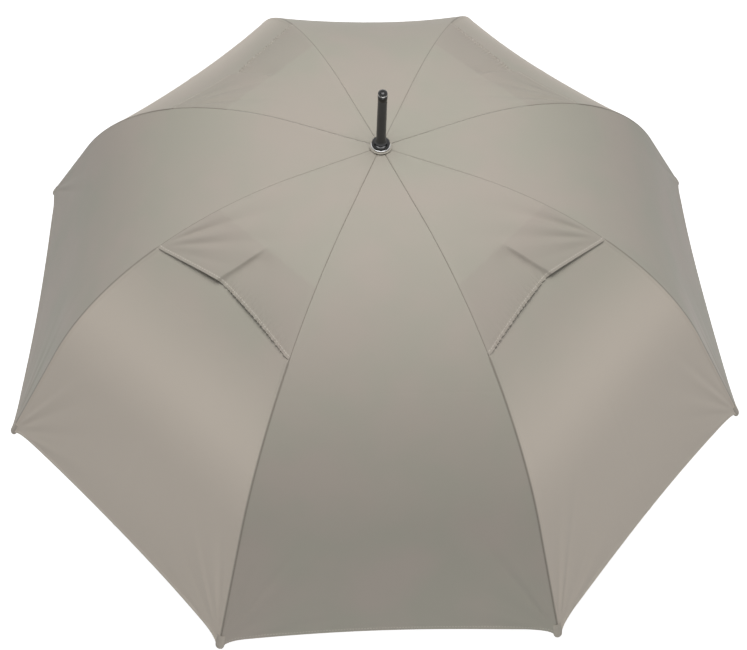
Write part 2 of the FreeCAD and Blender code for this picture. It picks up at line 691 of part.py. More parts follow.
# ---------------------------------------------------------------- handle
def make_handle_cap():
    """End cap with a flat face and a rounded rim; it closes the shaft's socket."""
    corners = [("0", "0"), ("dims.grip_radius", "0"), ("dims.grip_radius", "dims.grip_low"),
               ("dims.shaft_radius", "dims.grip_low"), ("dims.shaft_radius", "dims.shaft_foot"),
               ("0", "dims.shaft_foot")]
    body = turned("handle_cap", corners)
    round_edge(body, "0", "dims.grip_radius", "dims.cap_edge")
    return body


def make_handle_core():
    """Hard tube on the shaft that widens into the button housing."""
    wall = "dims.collar_wall_radius"
    corners = [("dims.shaft_radius", "dims.shaft_foot"), ("dims.core_radius", "dims.shaft_foot"),
               ("dims.core_radius", "dims.grip_high"), (wall, "dims.grip_high"),
               (wall, "dims.handle_top"), ("dims.shaft_radius", "dims.handle_top")]
    body = turned("handle_core", corners)
    cavity = [("dims.cavity_hub", "dims.cavity_low"), ("dims.cavity_radius", "dims.cavity_low"),
              ("dims.cavity_radius", "dims.cavity_high"), ("dims.cavity_hub", "dims.cavity_high")]
    turn(body, outline(body, "XZ_Plane", cavity), "PartDesign::Groove")
    forward = Rotation(Vector(1, 0, 0), 90)
    hub = size("dims.cavity_hub + dims.cut_past")
    primitive(body, "SubtractiveCylinder", Placement(Vector(0, -hub, size("dims.button_height")), forward),
              Radius="dims.button_hole", Height="dims.collar_wall_radius")
    play = size("dims.hook_play")
    corner = Vector(-size("dims.hook_width / 2") - play, size("dims.hook_inner") - play,
                    size("dims.cavity_high - dims.cut_past"))
    primitive(body, "SubtractiveBox", Placement(corner, Rotation()),
              Length="dims.hook_width + 2 * dims.hook_play",
              Width="dims.hook_thickness + dims.button_travel + 2 * dims.hook_play",
              Height="dims.handle_top - dims.cavity_high + 2 * dims.cut_past")
    return body


def make_grip():
    return tube("handle_grip", "dims.core_radius", "dims.grip_radius", "dims.grip_low", "dims.grip_high")


def make_button():
    """Push button facing the front, -Y."""
    body = new_body("push_button")
    back = size("dims.button_root - dims.latch_radius")
    primitive(body, "AdditiveCylinder", Placement(Vector(0, back, 0), Rotation(Vector(1, 0, 0), 90)),
              Radius="dims.button_radius", Height="dims.button_face - dims.latch_radius + dims.button_root")
    lip = size("dims.latch_thickness") / 2
    primitive(body, "SubtractiveCylinder", Placement(Vector(0, 0, -lip), Rotation()),
              Radius="dims.latch_radius", Height="dims.latch_thickness")
    return stand_at(body, "dims.button_height")


def make_latch():
    """Plate round the shaft that the button pushes; its hook holds the closed runner."""
    body = new_body("latch")
    thickness = size("dims.latch_thickness")
    primitive(body, "AdditiveCylinder", Placement(Vector(0, 0, -thickness / 2), Rotation()),
              Radius="dims.latch_radius", Height="dims.latch_thickness")
    for shift in (0, -size("dims.button_travel")):
        primitive(body, "SubtractiveCylinder", Placement(Vector(0, shift, -thickness), Rotation()),
                  Radius="dims.latch_bore", Height="2 * dims.latch_thickness")
    side = -size("dims.hook_width") / 2
    rise = "dims.hook_top - dims.button_height"
    inner = size("dims.hook_inner")
    primitive(body, "AdditiveBox", Placement(Vector(side, inner, 0), Rotation()), Length="dims.hook_width",
              Width="dims.hook_thickness", Height=rise)
    nose = Vector(side, inner - size("dims.hook_nose"), size(f"{rise} - dims.hook_nose_height"))
    primitive(body, "AdditiveBox", Placement(nose, Rotation()), Length="dims.hook_width",
              Width="dims.hook_nose + dims.hook_thickness / 2", Height="dims.hook_nose_height")
    return stand_at(body, "dims.button_height")


def make_button_spring():
    """Envelope of the short coil between the latch and the housing wall."""
    outer = doc.addObject("Part::Cylinder", "button_spring_outside")
    inner = doc.addObject("Part::Cylinder", "button_spring_inside")
    length = "dims.cavity_radius - dims.latch_radius - 2 * dims.spring_gap"
    outer.setExpression("Radius", "dims.button_spring_radius")
    inner.setExpression("Radius", "dims.button_spring_radius / 2")
    for item in (outer, inner):
        item.setExpression("Height", length)
    spring = doc.addObject("Part::Cut", "button_spring")
    spring.Base = outer
    spring.Tool = inner
    start = Vector(0, size("dims.latch_radius + dims.spring_gap"), 0)
    spring.Placement = Placement(start, Rotation(Vector(1, 0, 0), -90))
    return stand_at(spring, "dims.button_height")


# ---------------------------------------------------------------- build, check and write
numbers = range(1, PARTS + 1)
subparts = [make_shaft(), make_crown(), make_rosette(), make_collar(), make_ferrule_ring(), make_ferrule(),
            make_ferrule_cap(), make_runner(), make_runner_pin(), make_opening_spring(), make_handle_cap(),
            make_handle_core(), make_grip(), make_button(), make_latch(), make_button_spring(),
            make_strap(), make_snap(),
            ring_wire("crown_wire", "dims.rib_pivot_radius", "dims.crown_height"),
            ring_wire("runner_wire", "dims.runner_wire_ring", f"dims.crown_height + {RUNNER_Z}")]
for maker in (make_rib, make_rib_end, make_stretcher, make_upper, make_lower):
    subparts += [maker(number) for number in numbers]
doc.recompute()

for item in doc.Objects:
    if "Invalid" in item.State or "Error" in item.State:
        raise RuntimeError(f"{item.Label} did not build: {item.State}")
os.makedirs("parts", exist_ok=True)
for item in subparts:
    shape = item.Shape
    if shape.isNull() or not shape.isValid() or not shape.Solids:
        raise RuntimeError(f"{item.Label} has no valid solid")
    shape.exportStep(os.path.join("parts", item.Label + ".step"))
    bounds = shape.BoundBox
    print(f"{item.Label:18s} solids {len(shape.Solids)} volume {shape.Volume:10.1f}"
          f" z {bounds.ZMin:7.1f} to {bounds.ZMax:7.1f}")
print(f"{len(subparts)} sub-parts; runner wire {size(RUNNER_Z):.3f} below the rib pivots")
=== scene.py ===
# %% [markdown]
# # A golf umbrella, standing open
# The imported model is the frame: the shaft, runner, ribs and stretchers already have their real
# shapes and places, so they stay and only get finishes. The cloth, the ferrule, the springs and the
# grip are plain stand-ins there, and the cells below replace them piece by piece.

# %% Load the frame
import math
import bpy
import numpy as np
from mathutils import Matrix, Vector


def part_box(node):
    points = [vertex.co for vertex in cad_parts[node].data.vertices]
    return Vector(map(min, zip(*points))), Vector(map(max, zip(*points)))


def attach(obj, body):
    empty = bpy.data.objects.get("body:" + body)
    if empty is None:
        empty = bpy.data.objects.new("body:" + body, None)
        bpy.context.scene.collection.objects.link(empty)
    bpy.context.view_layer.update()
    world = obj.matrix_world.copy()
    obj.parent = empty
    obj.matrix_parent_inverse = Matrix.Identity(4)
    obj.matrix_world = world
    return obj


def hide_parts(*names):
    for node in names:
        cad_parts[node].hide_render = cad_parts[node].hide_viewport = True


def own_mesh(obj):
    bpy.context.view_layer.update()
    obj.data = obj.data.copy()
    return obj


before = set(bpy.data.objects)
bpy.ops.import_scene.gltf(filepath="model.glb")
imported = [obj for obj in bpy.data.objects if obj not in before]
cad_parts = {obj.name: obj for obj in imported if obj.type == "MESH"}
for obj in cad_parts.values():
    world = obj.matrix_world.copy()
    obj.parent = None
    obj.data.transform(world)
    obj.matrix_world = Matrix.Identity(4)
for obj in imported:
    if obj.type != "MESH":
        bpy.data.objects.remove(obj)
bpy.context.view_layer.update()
bpy.ops.object.select_all(action="DESELECT")

# %% [markdown]
# ## Two small helpers for every finish
# Paint and cloth charts give colours as sRGB hex values, while a shader works in linear light, so one
# function converts them. The other adds a node, sets its properties and links its inputs, so a
# finish reads as a short list of nodes instead of a page of link calls.

# %% Colour and node helpers
def linear(text):
    """A sRGB hex value as a linear colour."""
    parts = [int(text[i:i + 2], 16) / 255 for i in (1, 3, 5)]
    return [c / 12.92 if c <= 0.04045 else ((c + 0.055) / 1.055) ** 2.4 for c in parts] + [1.0]


def add_node(tree, kind, settings=None, **inputs):
    """Add a node; an input is a number, a colour or the output of another node."""
    node = tree.nodes.new("ShaderNode" + kind)
    for name, value in (settings or {}).items():
        setattr(node, name, value)
    for name, value in inputs.items():
        socket = node.inputs[int(name[1:])] if name[1:].isdigit() else node.inputs[name.replace("_", " ")]
        if isinstance(value, bpy.types.NodeSocket):
            tree.links.new(value, socket)
        else:
            socket.default_value = value
    return node


def new_finish(name):
    """A new material, with its node tree and its main shader."""
    material = bpy.data.materials.new(name)
    material.use_nodes = True
    return material, material.node_tree, material.node_tree.nodes["Principled BSDF"]


# %% [markdown]
# ## The viewpoint
# The umbrella is looked down on from the front, about 59 degrees above level and from less than a
# metre over the ferrule, so the near panels look large and the far ones are foreshortened. A 45 mm
# lens at that distance gives the same perspective. The small turn and roll are a hand-held camera's.

# %% Camera
CROWN = 0.965  # the rib pivots' height
camera_data = bpy.data.cameras.new("camera")
camera_data.lens = 45.26
camera_data.sensor_width = 36
camera_data.clip_start = 0.02
camera_data.shift_x = -0.002
camera = bpy.data.objects.new("camera", camera_data)
bpy.context.scene.collection.objects.link(camera)
turn = Matrix.Rotation(math.radians(-4.27), 4, "Z")
look = turn @ Matrix.Rotation(math.radians(90 - 58.98), 4, "X") @ Matrix.Rotation(math.radians(2.46), 4, "Z")
camera.matrix_world = Matrix.Translation((-0.061, -0.853, CROWN + 0.962)) @ look
bpy.context.scene.camera = camera
bpy.context.scene.view_settings.view_transform = "Standard"
print("camera stands", round(camera.location.z, 3), "m above the floor")

# %% [markdown]
# ## Floor, backdrop and studio light
# A plain floor would lie in the umbrella's own shadow. A pale studio sweep that glows a little, like a
# light table, stays white, and it is kept from lighting the cloth, so only the softbox shapes it. The
# sweep is one round sheet: a floor whose rim is drawn up into a wall and a ceiling by extruding it. Its
# back is clear, so the umbrella can also be looked at from under the floor.
# One large softbox hangs straight overhead, so the level cloth round the ferrule is the brightest and
# the light falls off quickly down the bend. Four pale cards lying low around the umbrella throw light
# back up, which only the steep cloth near the hem catches. A dim even surround fills the rest.

# %% Floor and lights
bpy.ops.mesh.primitive_circle_add(vertices=96, radius=9, fill_type="NGON", location=(0, 0, 0))
sweep = bpy.context.object
sweep.name = "studio_sweep"
bpy.ops.object.mode_set(mode="EDIT")
bpy.ops.mesh.select_mode(type="EDGE")
bpy.ops.mesh.select_all(action="DESELECT")
bpy.ops.mesh.select_non_manifold()
for lift, widen in ((0.4, 1.1), (1.2, 1.06), (3.0, 1.02), (3.0, 0.95), (2.5, 0.7)):
    bpy.ops.mesh.extrude_edges_move(TRANSFORM_OT_translate={"value": (0, 0, lift)})
    bpy.ops.transform.resize(value=(widen, widen, 1), center_override=(0, 0, 0))
bpy.ops.mesh.normals_make_consistent(inside=True)
bpy.ops.object.mode_set(mode="OBJECT")
bpy.ops.object.shade_smooth()
sweep.visible_diffuse = False
sweep.visible_shadow = False
paint, tree, shader = new_finish("pale_studio_paint")
place = add_node(tree, "TexCoord").outputs["Object"]
rolled = add_node(tree, "TexNoise", Vector=place, Scale=2.0, Detail=2.0).outputs["Fac"]
tone = add_node(tree, "Mix", {"data_type": "RGBA"}, _0=rolled, _6=linear("#BCBCBA"), _7=linear("#C2C2C1"))
tree.links.new(tone.outputs[2], shader.inputs["Base Color"])
shader.inputs["Roughness"].default_value = 0.9
shader.inputs["Emission Color"].default_value = (1.0, 1.0, 1.0, 1.0)
shader.inputs["Emission Strength"].default_value = 0.92
from_behind = add_node(tree, "NewGeometry").outputs["Backfacing"]
clear = add_node(tree, "BsdfTransparent").outputs["BSDF"]
one_way = add_node(tree, "MixShader", _0=from_behind, _1=shader.outputs["BSDF"], _2=clear)
tree.links.new(one_way.outputs["Shader"], tree.nodes["Material Output"].inputs["Surface"])
sweep.data.materials.append(paint)


def square_light(name, size, watts, place, aim):
    """A square softbox or card of this size in metres, facing a point."""
    light_data = bpy.data.lights.new(name, "AREA")
    light_data.shape = "SQUARE"
    light_data.size = size
    light_data.energy = watts
    light = bpy.data.objects.new(name, light_data)
    light.location = place
    light.rotation_euler = (Vector(aim) - Vector(place)).to_track_quat("-Z", "Y").to_euler()
    light.visible_camera = False
    bpy.context.scene.collection.objects.link(light)


square_light("softbox", 1.4, 33.5, (0.0, 0.0, 2.85), (0.0, 0.0, CROWN))
CARDS = (("front", 0, -1, 4.6), ("right", 1, 0, 3.2), ("rear", 0, 1, 3.0), ("left", -1, 0, 2.8))
for side, across, along, watts in CARDS:
    place = (1.55 * across, 1.55 * along, 0.15)
    square_light(f"card_{side}", 0.9, watts, place, (0.5 * across, 0.5 * along, 0.7))

world = bpy.data.worlds.new("surround")
world.use_nodes = True
world.node_tree.nodes["Background"].inputs["Color"].default_value = (0.15, 0.15, 0.15, 1.0)
bpy.context.scene.world = world
print("lit by a softbox,", len(CARDS), "cards and a dim surround")

# %% [markdown]
# ## The cloth's finish
# The canopy is pongee, a fine plain weave of textured polyester with a light water-repellent finish:
# greige, almost matt, with a faint soft sheen. Its colour wanders between a pinker and a greener grey
# over a hand's width. Where two layers lie on each other less light comes through, so there the cloth
# is painted a shade darker and warmer, a painted shade. The panels under the vents are cut across the
# grain, and their steep part is painted lighter, a painted sheen. Along each seam a dark line is
# painted where the groove over the rib lies in shade, a painted shade. Seams, hems and stitches follow
# distances that every panel carries as attributes, because they belong to the cut piece and not to the
# space it stands in.

# %% Woven cloth
cloth, tree, shader = new_finish("woven_pongee")
place = add_node(tree, "TexCoord").outputs["Object"]
flat_map = add_node(tree, "UVMap", {"uv_map": "cloth_uv"}).outputs["UV"]
seam = add_node(tree, "Attribute", {"attribute_name": "seam"}).outputs["Fac"]
hem = add_node(tree, "Attribute", {"attribute_name": "hem"}).outputs["Fac"]
double_layer_shade = add_node(tree, "Attribute", {"attribute_name": "double_layer_shade"}).outputs["Fac"]
across_grain_sheen = add_node(tree, "Attribute", {"attribute_name": "grain"}).outputs["Fac"]
drift = add_node(tree, "TexNoise", Vector=place, Scale=9.0, Detail=2.0, Roughness=0.55).outputs["Fac"]
tone = add_node(tree, "ValToRGB", _0=drift)
tone.color_ramp.elements[0].position = 0.36
tone.color_ramp.elements[0].color = linear("#B5ACA1")
tone.color_ramp.elements[1].position = 0.64
tone.color_ramp.elements[1].color = linear("#B0AC9F")
# painted shade: where two layers lie on each other less light comes through, so the cloth is painted darker
# and warmer
painted_layer_shade = add_node(tree, "Mix", {"data_type": "RGBA"}, _0=double_layer_shade, _6=tone.outputs["Color"],
                   _7=linear("#A99E95")).outputs[2]
# painted sheen: the steep part of the vented gores' lower panels, cut across the grain, is painted lighter
painted_grain_sheen = add_node(tree, "Mix", {"data_type": "RGBA"}, _0=across_grain_sheen, _6=painted_layer_shade,
                        _7=linear("#DCD1C3")).outputs[2]
# painted shade: a dark line along each seam, where the groove over the rib lies in shade
seam_shade = add_node(tree, "MapRange", Value=seam, From_Min=0.0003, From_Max=0.0012, To_Min=0.62,
                     To_Max=0.0).outputs["Result"]
seam_shaded = add_node(tree, "Mix", {"data_type": "RGBA"}, _0=seam_shade, _6=painted_grain_sheen,
                 _7=linear("#7B746A")).outputs[2]
parts = add_node(tree, "SeparateXYZ", Vector=flat_map)
# lock stitches are 2.5 mm long; drawn 4 mm apart and 0.8 mm wide, as coarse as shows
dash = add_node(tree, "Math", {"operation": "PINGPONG"}, _0=parts.outputs["X"], _1=0.002).outputs[0]
dash_on = add_node(tree, "Math", {"operation": "GREATER_THAN"}, _0=dash, _1=0.0008).outputs[0]
off_line = add_node(tree, "Math", {"operation": "SUBTRACT"}, _0=hem, _1=0.0043).outputs[0]
off_line = add_node(tree, "Math", {"operation": "ABSOLUTE"}, _0=off_line).outputs[0]
on_line = add_node(tree, "Math", {"operation": "LESS_THAN"}, _0=off_line, _1=0.0004).outputs[0]
stitch = add_node(tree, "Math", {"operation": "MULTIPLY"}, _0=dash_on, _1=on_line).outputs[0]
sewn = add_node(tree, "Mix", {"data_type": "RGBA"}, _0=stitch, _6=seam_shaded, _7=linear("#C9C3B8")).outputs[2]
tree.links.new(sewn, shader.inputs["Base Color"])
# threads are 0.1 mm apart; drawn 0.8 mm apart, which still only shows close up
warp = add_node(tree, "TexWave", {"bands_direction": "X"}, Vector=flat_map, Scale=395.0).outputs["Fac"]
weft = add_node(tree, "TexWave", {"bands_direction": "Y"}, Vector=flat_map, Scale=395.0).outputs["Fac"]
weave = add_node(tree, "Math", {"operation": "MULTIPLY"}, _0=warp, _1=weft).outputs[0]
slub = add_node(tree, "TexNoise", Vector=place, Scale=700.0, Detail=2.0).outputs["Fac"]
grain = add_node(tree, "Math", {"operation": "ADD"}, _0=weave, _1=slub).outputs[0]
bump = add_node(tree, "Bump", Height=grain, Distance=0.00004, Strength=0.5).outputs["Normal"]
tree.links.new(bump, shader.inputs["Normal"])
wear = add_node(tree, "MapRange", Value=drift, To_Min=0.66, To_Max=0.78).outputs["Result"]
tree.links.new(wear, shader.inputs["Roughness"])
shader.inputs["Specular IOR Level"].default_value = 0.3
shader.inputs["Sheen Weight"].default_value = 0.12
shader.inputs["Sheen Roughness"].default_value = 0.45
print("cloth finish has", len(tree.nodes), "nodes")

# %% [markdown]
# ## Mouldings
# Four kinds of plastic are used. The crown, runner and handle tube are moulded nylon, black with a
# fine eroded mould texture. The ferrule's base, cap and the end cap are polished, so they mirror the
# softbox as a bright line. The ferrule's stem is a satin charcoal moulding with faint draw marks, and
# the push button is a smoother black.

# %% Moulded plastics
def moulding(name, dark, light, rough, grain_size, depth):
    """A moulded plastic: two close colours, and a fine texture of this grain size in metres."""
    material, tree, shader = new_finish(name)
    place = add_node(tree, "TexCoord").outputs["Object"]
    broad = add_node(tree, "TexNoise", Vector=place, Scale=60.0, Detail=3.0).outputs["Fac"]
    tone = add_node(tree, "Mix", {"data_type": "RGBA"}, _0=broad, _6=linear(dark), _7=linear(light))
    tree.links.new(tone.outputs[2], shader.inputs["Base Color"])
    fine = add_node(tree, "TexNoise", Vector=place, Scale=1 / grain_size, Detail=2.0).outputs["Fac"]
    haze = add_node(tree, "MapRange", Value=fine, To_Min=rough - 0.05, To_Max=rough + 0.05)
    tree.links.new(haze.outputs["Result"], shader.inputs["Roughness"])
    bump = add_node(tree, "Bump", Height=fine, Distance=depth, Strength=0.4).outputs["Normal"]
    tree.links.new(bump, shader.inputs["Normal"])
    return material


nylon = moulding("eroded_black_nylon", "#17181A", "#202123", 0.48, 0.0006, 0.00006)
polished = moulding("polished_black_abs", "#0B0B0C", "#111112", 0.12, 0.002, 0.000005)
charcoal = moulding("satin_charcoal_abs", "#333435", "#3E3F40", 0.34, 0.0012, 0.00002)
button_black = moulding("smooth_black_acetal", "#1A1B1D", "#232426", 0.28, 0.001, 0.00001)
print("plastics:", nylon.name, polished.name, charcoal.name, button_black.name)

# %% [markdown]
# ## Rods and tube
# The ribs are pultruded fibreglass, where fine glass shows as pale specks under a satin black resin. The
# shaft is a steel tube with stoved black enamel, which flows smooth and keeps a soft gloss. Both could
# be one plain black, but they catch light differently where they meet at the crown.

# %% Fibreglass and enamel
resin, tree, shader = new_finish("pultruded_fibreglass")
place = add_node(tree, "TexCoord").outputs["Object"]
fibres = add_node(tree, "TexNoise", Vector=place, Scale=900.0, Detail=3.0, Roughness=0.7).outputs["Fac"]
tone = add_node(tree, "Mix", {"data_type": "RGBA"}, _0=fibres, _6=linear("#18191A"), _7=linear("#303133"))
tree.links.new(tone.outputs[2], shader.inputs["Base Color"])
haze = add_node(tree, "MapRange", Value=fibres, To_Min=0.3, To_Max=0.5).outputs["Result"]
tree.links.new(haze, shader.inputs["Roughness"])

enamel, tree, shader = new_finish("stoved_black_enamel")
place = add_node(tree, "TexCoord").outputs["Object"]
flow = add_node(tree, "TexNoise", Vector=place, Scale=220.0, Detail=2.0).outputs["Fac"]
tone = add_node(tree, "Mix", {"data_type": "RGBA"}, _0=flow, _6=linear("#141415"), _7=linear("#1E1F20"))
tree.links.new(tone.outputs[2], shader.inputs["Base Color"])
flow_bump = add_node(tree, "Bump", Height=flow, Distance=0.00003, Strength=0.3).outputs["Normal"]
tree.links.new(flow_bump, shader.inputs["Normal"])
shader.inputs["Roughness"].default_value = 0.22
shader.inputs["Coat Weight"].default_value = 0.3
print("rods:", resin.name, "and tube:", enamel.name)

# %% [markdown]
# ## Plated metals
# The stretchers and the latch are nickel-plated steel, dulled by handling, the wires and springs are
# zinc-plated, and the bright rings and the stud are chromed. All are one recipe: a metal whose colour
# and roughness wander a little, so a long reflection breaks up as it does on real plating.

# %% Plated metals
def plating(name, dark, light, low, high, brush_scale):
    """Plated steel: metal with brushed variation in colour and roughness."""
    material, tree, shader = new_finish(name)
    place = add_node(tree, "TexCoord").outputs["Object"]
    brushed = add_node(tree, "TexNoise", Vector=place, Scale=brush_scale, Detail=4.0).outputs["Fac"]
    tone = add_node(tree, "Mix", {"data_type": "RGBA"}, _0=brushed, _6=linear(dark), _7=linear(light))
    tree.links.new(tone.outputs[2], shader.inputs["Base Color"])
    haze = add_node(tree, "MapRange", Value=brushed, To_Min=low, To_Max=high).outputs["Result"]
    tree.links.new(haze, shader.inputs["Roughness"])
    shader.inputs["Metallic"].default_value = 1.0
    return material


nickel = plating("nickel_plated_steel", "#A3A3A1", "#BDBCB8", 0.22, 0.42, 500.0)
spring_steel = plating("zinc_plated_wire", "#B5B6B8", "#CFD0D1", 0.25, 0.4, 900.0)
chrome = plating("chromed_ring", "#D2D3D4", "#E4E4E4", 0.04, 0.12, 300.0)
print("metals:", nickel.name, spring_steel.name, chrome.name)

# %% [markdown]
# ## The grip's rubber
# The grip is a soft moulded rubber sleeve. Rubber scatters light at its skin, so it is nearly black
# with no clear highlight, and its fine pebbled texture makes it less slippery. A Voronoi pattern of
# cells about a millimetre wide gives the pebbles.

# %% Rubber
rubber, tree, shader = new_finish("pebbled_rubber")
place = add_node(tree, "TexCoord").outputs["Object"]
pebble = add_node(tree, "TexVoronoi", Vector=place, Scale=900.0).outputs["Distance"]
cloudy = add_node(tree, "TexNoise", Vector=place, Scale=40.0, Detail=3.0).outputs["Fac"]
tone = add_node(tree, "Mix", {"data_type": "RGBA"}, _0=cloudy, _6=linear("#1B1B1B"), _7=linear("#272726"))
tree.links.new(tone.outputs[2], shader.inputs["Base Color"])
pebble_bump = add_node(tree, "Bump", Height=pebble, Distance=0.00015, Strength=0.5).outputs["Normal"]
tree.links.new(pebble_bump, shader.inputs["Normal"])
shader.inputs["Roughness"].default_value = 0.72
print("grip finish:", rubber.name)

# %% [markdown]
# ## The line of a rib
# All the cloth hangs on the ribs, so one function gives the rib's line: a straight root, a long bend
# and a straight tip. 'path' is the distance from the shaft's axis along the rib, and 'rise' is the
# height over the rod's centre. Everything cut from cloth is then laid out in these two numbers and a
# third, the distance across the panel.

# %% Rib line
PIVOT, ROOT_END, BEND_RADIUS = 0.011, 0.121, 0.465
ROOT_SLOPE, TIP_SLOPE = math.radians(1), math.radians(55.5)
BEND_END = ROOT_END + BEND_RADIUS * (TIP_SLOPE - ROOT_SLOPE)
ROD_END = BEND_END + 0.187
HALF_GORE = math.radians(22.5)


def path_at(slope):
    """The path where the rib slopes this many degrees."""
    return ROOT_END + BEND_RADIUS * (math.radians(slope) - ROOT_SLOPE)


def rib_point(path, rise):
    """Distance out from the shaft, height over the pivots, and slope."""
    slope = ROOT_SLOPE + np.clip(path - ROOT_END, 0, BEND_END - ROOT_END) / BEND_RADIUS
    root = np.minimum(path, ROOT_END) - PIVOT
    tip = np.maximum(path - BEND_END, 0)
    out = PIVOT + root * math.cos(ROOT_SLOPE) + BEND_RADIUS * (np.sin(slope) - math.sin(ROOT_SLOPE))
    up = -root * math.sin(ROOT_SLOPE) + BEND_RADIUS * (np.cos(slope) - math.cos(ROOT_SLOPE))
    out = out + tip * np.cos(slope) + rise * np.sin(slope)
    return out, up - tip * np.sin(slope) + rise * np.cos(slope), slope


CLIP = path_at(32)
VENT_END = path_at(27.5) - 0.01
UNDERLAP_EDGE = path_at(14.5)
print("rib is", round(ROD_END, 4), "m long, with its stretcher clip at", round(CLIP, 4))


def smooth(value, low, high):
    """0 below low, 1 above high, with an even ramp between."""
    share = np.clip((value - low) / (high - low), 0, 1)
    return share * share * (3 - 2 * share)


# %% [markdown]
# ## A panel of stretched cloth
# Each gore is cut flat and pulled tight between two ribs, so it is straight across, except that the
# tension along it draws its middle in by a few millimetres. It could be draped by simulation, but
# stretched cloth has so little freedom that its shape is known, and a grid laid out by the rib's line
# keeps the seams, hems and folds exactly where they are sewn. The grid's outer columns lie close
# together, where the seam's groove and band need them. A thin Solidify, thicker along the hem where
# the cloth is rolled, closes it.

# %% Panel maker
SEAM_STEPS = (0.0, 0.0005, 0.001, 0.0016, 0.0026, 0.0044, 0.0052, 0.0062)
HEM_STEPS = (0.0, 0.0005, 0.0044, 0.0052, 0.0064)
CLOTH_RISE, FLAP_RISE = 0.0044, 0.0058  # over the rod's centre
CLOTH_START = PIVOT - 0.0015  # the cloth's inner edge, under the rosette
CLOTH_SAG, FLAP_SAG = 0.028, 0.012  # sink of a gore's middle, as a share of its width
CLOTH_THICK, HEM_THICK = 0.00025, 0.0009
HEM_BAND = 0.0048  # width of the rolled hem
FAR = 0.02  # distances to a seam or hem are kept up to here


def deselect():
    if bpy.context.object and bpy.context.object.mode != "OBJECT":
        bpy.ops.object.mode_set(mode="OBJECT")
    bpy.ops.object.select_all(action="DESELECT")


def apply_modifier(piece, kind, **settings):
    modifier = piece.modifiers.new(kind.title(), kind)
    for name, value in settings.items():
        setattr(modifier, name, value)
    bpy.context.view_layer.objects.active = piece
    bpy.ops.object.modifier_apply(modifier=modifier.name)


def finish_cloth(piece, thickness, hem_thickness):
    """Close a single layer of cloth into a thin sheet and shade it smooth."""
    apply_modifier(piece, "SOLIDIFY", thickness=hem_thickness, offset=-1.0, vertex_group="hem",
                   thickness_vertex_group=thickness / hem_thickness)
    piece.vertex_groups.clear()
    bpy.ops.object.select_all(action="DESELECT")
    piece.select_set(True)
    bpy.ops.object.shade_smooth_by_angle(angle=math.radians(50))
    piece.data.materials.clear()
    piece.data.materials.append(cloth)
    piece.select_set(False)


def cloth_grid(name, columns, rows):
    """A flat grid, with the column and row number of each of its vertices."""
    deselect()
    bpy.ops.mesh.primitive_grid_add(x_subdivisions=columns, y_subdivisions=rows, size=2, calc_uvs=True)
    piece = bpy.context.object
    piece.name = piece.data.name = name
    corners = np.empty(len(piece.data.vertices) * 3)
    piece.data.vertices.foreach_get("co", corners)
    corners = corners.reshape(-1, 3)
    column = np.rint((1 - corners[:, 0]) / 2 * columns).astype(int)
    row = np.rint((corners[:, 1] + 1) / 2 * rows).astype(int)
    return piece, column, row


def record_cloth(piece, points, across, along, details):
    """Move the vertices and store what the finish needs to know about each."""
    mesh = piece.data
    mesh.vertices.foreach_set("co", points.ravel())
    for label, values in details.items():
        mesh.attributes.new(label, "FLOAT", "POINT").data.foreach_set("value", values)
    flat = mesh.uv_layers[0]
    flat.name = "cloth_uv"
    corner = np.empty(len(mesh.loops), dtype=int)
    mesh.loops.foreach_get("vertex_index", corner)
    flat.data.foreach_set("uv", np.stack([across[corner], along[corner]], 1).ravel())
    group = piece.vertex_groups.new(name="hem")
    for index in np.flatnonzero(details["hem"] < HEM_BAND):
        group.add([int(index)], 1.0, "REPLACE")
    mesh.update()


def sagged(path, t, half, sag):
    """How far tension along the gore draws the cloth in between its ribs."""
    return sag * 2 * half * (1 - t * t) * smooth(path, 0.03, 0.2) * (1 - 0.6 * smooth(path, 0.4, 0.75))


def stand(local, gore):
    """Turn points from out, across and up in a gore to their place round the shaft."""
    angle = math.radians(-90 + 45 * (gore - 1))
    return np.stack([local[:, 0] * math.cos(angle) - local[:, 1] * math.sin(angle),
                     local[:, 0] * math.sin(angle) + local[:, 1] * math.cos(angle),
                     local[:, 2] + CROWN], 1)


